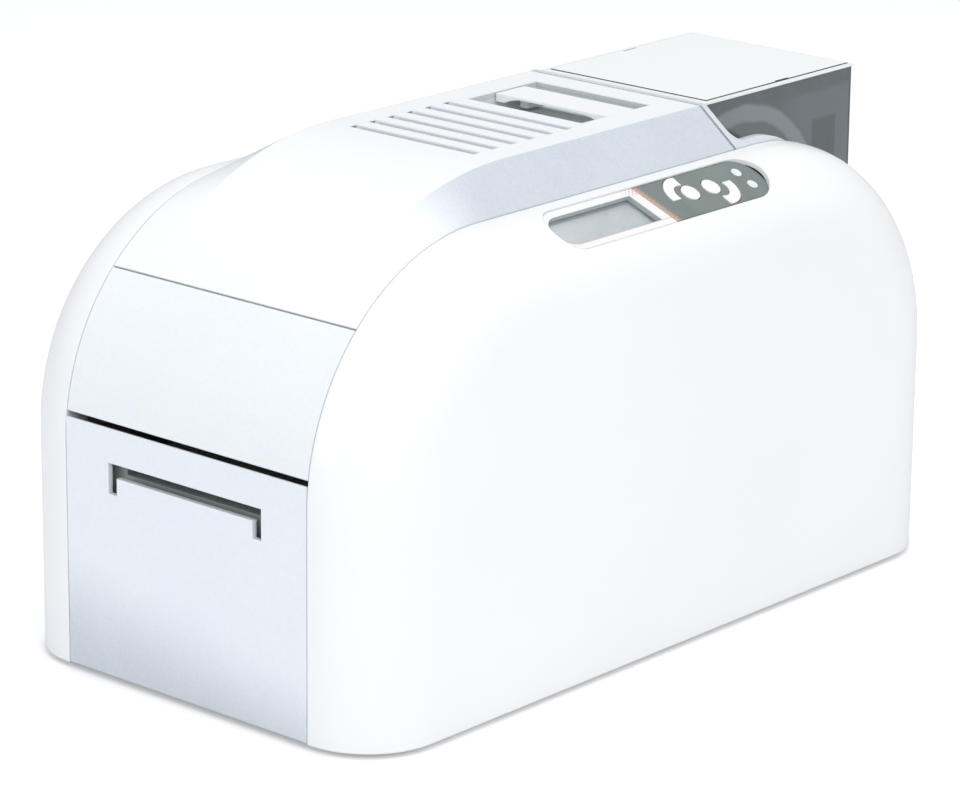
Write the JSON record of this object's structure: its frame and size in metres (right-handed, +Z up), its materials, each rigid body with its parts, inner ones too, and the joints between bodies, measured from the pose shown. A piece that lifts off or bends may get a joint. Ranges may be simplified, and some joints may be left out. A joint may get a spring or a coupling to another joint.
{
  "type": "id card printer",
  "caption": "Desktop id card printer with arched silver spine, rounded white side covers, front card slot door, vented lift-up top cover and smoky rear card hopper with lid.",
  "frame": {"origin": "on the table under the middle of the printer", "axes": "+X to the right seen from the front, +Y from the front door to the rear panel, +Z up"},
  "size_m": [0.263, 0.48, 0.271],
  "materials": {
    "base_tray": "moulded matte",
    "rubber_feet": "matte",
    "side_cover_right": "satin white",
    "side_cover_left": "satin white",
    "rear_panel": "fine texture",
    "fascia": "pearl silver paint",
    "hopper_frame": "pearl silver paint",
    "hopper_walls": "smoke tint",
    "hopper_rim": "satin",
    "door_panel": "pearl silver paint",
    "door_liner": "moulded matte",
    "door_pins": "ground",
    "cover_shell": "pearl silver paint",
    "cover_liner": "moulded matte",
    "latch_well": "moulded matte",
    "pull_plate": "satin",
    "latch_hooks": "plated",
    "hopper_lid": "satin",
    "panel_frame": "gloss",
    "lcd_glass": "clear",
    "lcd_module": "dark glass",
    "keypad_plate": "gloss",
    "panel_board": "solder mask",
    "status_lights": "clear diffuser",
    "key_back": "satin",
    "key_menu": "satin",
    "key_enter": "satin",
    "key_next": "satin",
    "frame_plates": "zinc plated",
    "cross_bars": "ground",
    "hinge_bridge": "zinc plated",
    "card_track": "moulded matte",
    "exit_chute": "moulded matte",
    "magazine": "moulded matte",
    "weight_plate": "brushed",
    "bushes": "turned",
    "front_roller": "ground rubber",
    "middle_roller": "ground rubber",
    "platen_roller": "ground rubber",
    "rear_roller": "ground rubber",
    "pick_roller": "ground rubber",
    "pinch_front": "ground",
    "pinch_rear": "ground",
    "cleaning_roller": "tacky silicone",
    "drive_belt": "toothed",
    "motor_belt": "toothed",
    "feed_motor": "black end caps",
    "motor_rotor": "ground",
    "head_arm": "zinc plated",
    "print_head": "anodised",
    "cassette": "moulded matte",
    "ribbon_film": "glossy film",
    "supply_spool": "glossy film",
    "takeup_spool": "glossy film",
    "main_board": "solder mask",
    "power_box": "zinc plated",
    "rear_ports": "plated",
    "power_rocker": "gloss",
    "cooling_fan": "moulded matte",
    "fan_rotor": "moulded matte"
  },
  "bodies": {
    "case": {"base_tray": "base_tray", "rubber_feet": "rubber_feet", "side_cover_right": "side_cover_right", "side_cover_left": "side_cover_left", "rear_panel": "rear_panel", "fascia": "fascia", "hopper_frame": "hopper_frame", "hopper_walls": "hopper_walls", "hopper_rim": "hopper_rim", "panel_frame": "panel_frame", "lcd_glass": "lcd_glass", "lcd_module": "lcd_module", "keypad_plate": "keypad_plate", "panel_board": "panel_board", "status_lights": "status_lights", "frame_plates": "frame_plates", "cross_bars": "cross_bars", "hinge_bridge": "hinge_bridge", "card_track": "card_track", "exit_chute": "exit_chute", "magazine": "magazine", "bushes": "bushes", "drive_belt": "drive_belt", "motor_belt": "motor_belt", "feed_motor": "feed_motor", "cassette": "cassette", "ribbon_film": "ribbon_film", "main_board": "main_board", "power_box": "power_box", "rear_ports": "rear_ports", "cooling_fan": "cooling_fan"},
    "front_door": {"door_panel": "door_panel", "door_liner": "door_liner", "door_pins": "door_pins"},
    "top_cover": {"cover_shell": "cover_shell", "cover_liner": "cover_liner", "latch_well": "latch_well"},
    "cover_latch": {"pull_plate": "pull_plate", "latch_hooks": "latch_hooks"},
    "hopper_lid": {"hopper_lid": "hopper_lid"},
    "key_back": {"key_back": "key_back"},
    "key_menu": {"key_menu": "key_menu"},
    "key_enter": {"key_enter": "key_enter"},
    "key_next": {"key_next": "key_next"},
    "front_roller": {"front_roller": "front_roller"},
    "middle_roller": {"middle_roller": "middle_roller"},
    "platen_roller": {"platen_roller": "platen_roller"},
    "rear_roller": {"rear_roller": "rear_roller"},
    "pick_roller": {"pick_roller": "pick_roller"},
    "pinch_front": {"pinch_front": "pinch_front"},
    "pinch_rear": {"pinch_rear": "pinch_rear"},
    "cleaning_roller": {"cleaning_roller": "cleaning_roller"},
    "motor_rotor": {"motor_rotor": "motor_rotor"},
    "print_head": {"head_arm": "head_arm", "print_head": "print_head"},
    "supply_spool": {"supply_spool": "supply_spool"},
    "takeup_spool": {"takeup_spool": "takeup_spool"},
    "card_weight": {"weight_plate": "weight_plate"},
    "power_rocker": {"power_rocker": "power_rocker"},
    "fan_rotor": {"fan_rotor": "fan_rotor"}
  },
  "joints": [
    {"name": "front_door_hinge", "type": "hinge", "parent": "case", "child": "front_door", "pos_m": [0, -0.2325, 0.0105], "axis": [1, 0, 0], "range_deg": [0, 90]},
    {"name": "top_cover_hinge", "type": "hinge", "parent": "case", "child": "top_cover", "pos_m": [0, 0.08, 0.2635], "axis": [-1, 0, 0], "range_deg": [0, 65]},
    {"name": "cover_latch_hinge", "type": "hinge", "parent": "top_cover", "child": "cover_latch", "pos_m": [0, 0.069, 0.2635], "axis": [-1, 0, 0], "range_deg": [0, 20], "stiffness_Nm_per_rad": 0.05, "springref_deg": -11.46},
    {"name": "hopper_lid_hinge", "type": "hinge", "parent": "case", "child": "hopper_lid", "pos_m": [0, 0.2372, 0.26998], "axis": [-1, 0, 0], "range_deg": [0, 100]},
    {"name": "key_back_press", "type": "slide", "parent": "case", "child": "key_back", "axis": [-0.4695, 0, -0.8829], "range_m": [0, 0.0008], "stiffness_N_per_m": 300, "springref_m": -0.001},
    {"name": "key_menu_press", "type": "slide", "parent": "case", "child": "key_menu", "axis": [-0.4695, 0, -0.8829], "range_m": [0, 0.0008], "stiffness_N_per_m": 300, "springref_m": -0.001},
    {"name": "key_enter_press", "type": "slide", "parent": "case", "child": "key_enter", "axis": [-0.4695, 0, -0.8829], "range_m": [0, 0.0008], "stiffness_N_per_m": 300, "springref_m": -0.001},
    {"name": "key_next_press", "type": "slide", "parent": "case", "child": "key_next", "axis": [-0.4695, 0, -0.8829], "range_m": [0, 0.0008], "stiffness_N_per_m": 300, "springref_m": -0.001},
    {"name": "platen_roller_spin", "type": "hinge", "parent": "case", "child": "platen_roller", "pos_m": [0, -0.006, 0.1094], "axis": [1, 0, 0], "continuous": true},
    {"name": "front_roller_spin", "type": "hinge", "parent": "case", "child": "front_roller", "pos_m": [0, -0.162, 0.1094], "axis": [1, 0, 0], "continuous": true},
    {"name": "middle_roller_spin", "type": "hinge", "parent": "case", "child": "middle_roller", "pos_m": [0, -0.084, 0.1094], "axis": [1, 0, 0], "continuous": true},
    {"name": "rear_roller_spin", "type": "hinge", "parent": "case", "child": "rear_roller", "pos_m": [0, 0.072, 0.1094], "axis": [1, 0, 0], "continuous": true},
    {"name": "pick_roller_spin", "type": "hinge", "parent": "case", "child": "pick_roller", "pos_m": [0, 0.15, 0.1094], "axis": [1, 0, 0], "continuous": true},
    {"name": "motor_spin", "type": "hinge", "parent": "case", "child": "motor_rotor", "pos_m": [0, -0.084, 0.063], "axis": [1, 0, 0], "continuous": true},
    {"name": "pinch_front_spin", "type": "hinge", "parent": "case", "child": "pinch_front", "pos_m": [0, -0.162, 0.124], "axis": [1, 0, 0], "continuous": true},
    {"name": "pinch_rear_spin", "type": "hinge", "parent": "case", "child": "pinch_rear", "pos_m": [0, 0.072, 0.124], "axis": [1, 0, 0], "continuous": true},
    {"name": "cleaning_roller_spin", "type": "hinge", "parent": "case", "child": "cleaning_roller", "pos_m": [0, 0.107, 0.1246], "axis": [1, 0, 0], "continuous": true},
    {"name": "print_head_lift", "type": "hinge", "parent": "case", "child": "print_head", "pos_m": [0, 0.06, 0.188], "axis": [-1, 0, 0], "range_deg": [0, 10]},
    {"name": "supply_spool_spin", "type": "hinge", "parent": "case", "child": "supply_spool", "pos_m": [0, 0.043, 0.153], "axis": [1, 0, 0], "continuous": true},
    {"name": "takeup_spool_spin", "type": "hinge", "parent": "case", "child": "takeup_spool", "pos_m": [0, -0.055, 0.153], "axis": [1, 0, 0], "continuous": true},
    {"name": "card_weight_slide", "type": "slide", "parent": "case", "child": "card_weight", "axis": [0, 0, 1], "range_m": [0, 0.09]},
    {"name": "power_rocker_tilt", "type": "hinge", "parent": "case", "child": "power_rocker", "pos_m": [-0.0745, 0.234, 0.043], "axis": [1, 0, 0], "range_deg": [0, 16]},
    {"name": "fan_spin", "type": "hinge", "parent": "case", "child": "fan_rotor", "pos_m": [0, 0.232, 0.065], "axis": [0, 1, 0], "continuous": true}
  ],
  "couplings": [
    {"joint": "front_roller_spin", "follows": "platen_roller_spin", "ratio": 1},
    {"joint": "middle_roller_spin", "follows": "platen_roller_spin", "ratio": 1},
    {"joint": "rear_roller_spin", "follows": "platen_roller_spin", "ratio": 1},
    {"joint": "pick_roller_spin", "follows": "platen_roller_spin", "ratio": 1},
    {"joint": "motor_spin", "follows": "platen_roller_spin", "ratio": 1},
    {"joint": "pinch_front_spin", "follows": "platen_roller_spin", "ratio": -1.3333},
    {"joint": "pinch_rear_spin", "follows": "platen_roller_spin", "ratio": -1.3333},
    {"joint": "cleaning_roller_spin", "follows": "platen_roller_spin", "ratio": -1.2121},
    {"joint": "takeup_spool_spin", "follows": "supply_spool_spin", "ratio": 1.4151}
  ]
}
